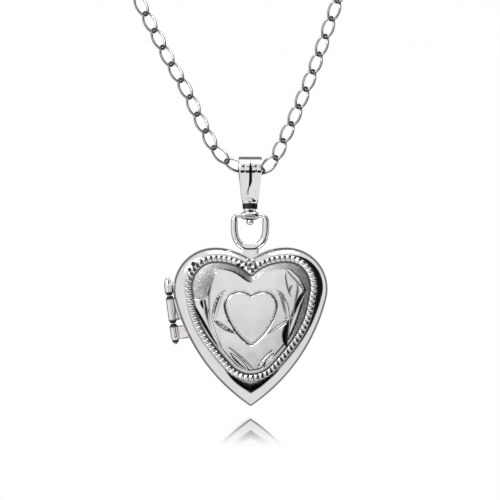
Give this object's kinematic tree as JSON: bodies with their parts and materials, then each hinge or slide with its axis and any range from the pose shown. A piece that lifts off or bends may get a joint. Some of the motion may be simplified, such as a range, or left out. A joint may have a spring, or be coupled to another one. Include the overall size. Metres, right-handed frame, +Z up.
{
  "type": "locket",
  "caption": "Heart-shaped hinged locket with an engraved front, hanging by a loop and a fluted bail from a fine curb chain.",
  "frame": {"origin": "the point where the bail hangs on the chain, on the middle plane between the two halves", "axes": "+Z up along the hanging locket, +Y from the engraved front towards the back, +X to the right seen from the front"},
  "size_m": [0.0239, 0.0042, 0.0404],
  "materials": {
    "polished_silver": "polished",
    "engraved_silver": "polished",
    "inner_silver": "satin",
    "spring_steel": "satin",
    "acetate": "gloss"
  },
  "bodies": {
    "chain": {"chain_link_centre": "polished_silver", "chain_link_left_01": "polished_silver", "chain_link_left_02": "polished_silver", "chain_link_left_03": "polished_silver", "chain_link_left_04": "polished_silver", "chain_link_left_05": "polished_silver", "chain_link_left_06": "polished_silver", "chain_link_left_07": "polished_silver", "chain_link_left_08": "polished_silver", "chain_link_left_09": "polished_silver", "chain_link_left_10": "polished_silver", "chain_link_left_11": "polished_silver", "chain_link_left_12": "polished_silver", "chain_link_right_01": "polished_silver", "chain_link_right_02": "polished_silver", "chain_link_right_03": "polished_silver", "chain_link_right_04": "polished_silver", "chain_link_right_05": "polished_silver", "chain_link_right_06": "polished_silver", "chain_link_right_07": "polished_silver", "chain_link_right_08": "polished_silver", "chain_link_right_09": "polished_silver", "chain_link_right_10": "polished_silver", "chain_link_right_11": "polished_silver", "jump_ring_left": "polished_silver", "jump_ring_right": "polished_silver", "clasp_end_ring": "polished_silver", "clasp_body": "polished_silver", "clasp_spring": "spring_steel"},
    "bail": {"bail": "polished_silver"},
    "locket_back": {"back_cover": "polished_silver", "back_rim": "inner_silver", "back_photo_frame": "inner_silver", "back_window": "acetate", "catch_tongue": "spring_steel", "hinge_knuckle_upper": "polished_silver", "hinge_knuckle_lower": "polished_silver", "hinge_pin": "spring_steel", "hanging_loop": "polished_silver"},
    "locket_front": {"front_cover": "engraved_silver", "front_rim": "inner_silver", "front_photo_frame": "inner_silver", "front_window": "acetate", "hinge_knuckle_middle": "polished_silver"},
    "clasp_trigger": {"clasp_trigger": "polished_silver"}
  },
  "joints": [
    {"name": "bail_swing", "type": "hinge", "parent": "chain", "child": "bail", "pos_m": [0, 0, 0], "axis": [1, 0, 0], "range_deg": [-75, 75]},
    {"name": "locket_swing", "type": "hinge", "parent": "bail", "child": "locket_back", "pos_m": [0, 0, -0.00366], "axis": [1, 0, 0], "range_deg": [-95, 95]},
    {"name": "cover_hinge", "type": "hinge", "parent": "locket_back", "child": "locket_front", "pos_m": [-0.00638, 0, -0.01044], "axis": [0.1305, 0, -0.9914], "range_deg": [0, 175]},
    {"name": "clasp_trigger_slide", "type": "hinge", "parent": "chain", "child": "clasp_trigger", "pos_m": [-0.0117, 0, 0.01902], "axis": [0, 1, 0], "range_deg": [0, 46], "stiffness_Nm_per_rad": 0.001, "deforming": ["clasp_spring"]}
  ]
}
